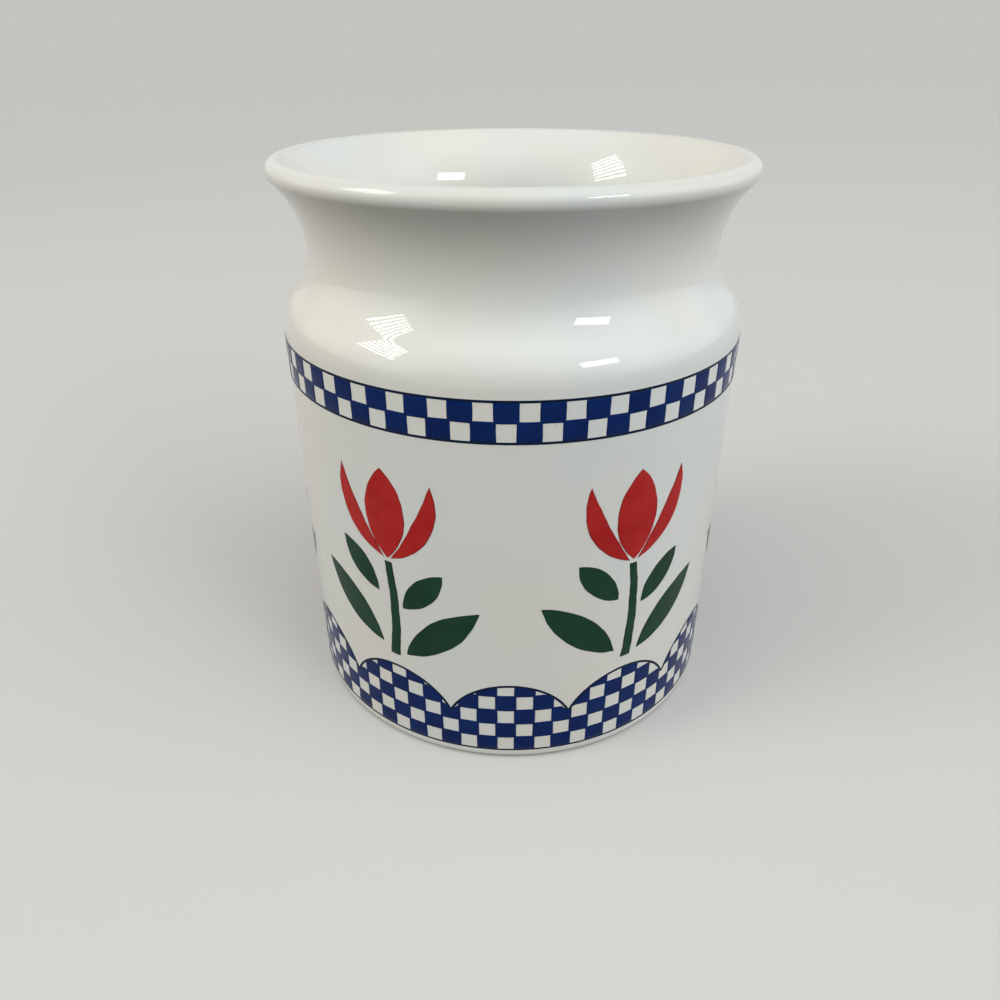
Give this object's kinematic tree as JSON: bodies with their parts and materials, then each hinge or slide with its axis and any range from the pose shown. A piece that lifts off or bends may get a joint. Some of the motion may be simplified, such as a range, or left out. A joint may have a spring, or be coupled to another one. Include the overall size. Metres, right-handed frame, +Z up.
{
  "type": "utensil crock",
  "caption": "Straight-sided ceramic utensil crock with a rounded shoulder, drawn-in neck and flared lip, glazed white with blue check bands and red and green stencilled flowers.",
  "frame": {"origin": "centre of the foot ring, on the surface that the crock stands on", "axes": "+Z up along the crock's axis; -Y faces the viewer"},
  "size_m": [0.1362, 0.1362, 0.1654],
  "materials": {
    "stoneware": "dry fired stoneware, off-white, fine grit",
    "white_glaze": "clear gloss over warm white",
    "blue_enamel": "fired-on enamel, gloss, a little proud of the glaze",
    "navy_enamel": "fired-on enamel line, gloss",
    "red_enamel": "fired-on enamel, gloss, a little proud of the glaze",
    "green_enamel": "fired-on enamel, satin gloss, a little proud of the glaze"
  },
  "bodies": {
    "root": {"stoneware_body": "stoneware", "outer_glaze": "white_glaze", "liner_glaze": "white_glaze", "base_glaze": "white_glaze", "check_band": "blue_enamel", "border_checks": "blue_enamel", "band_upper_line": "navy_enamel", "band_lower_line": "navy_enamel", "border_edge_line": "navy_enamel", "border_lower_line": "navy_enamel", "petal_prints": "red_enamel", "leaf_prints": "green_enamel", "stem_prints": "green_enamel"}
  },
  "joints": []
}
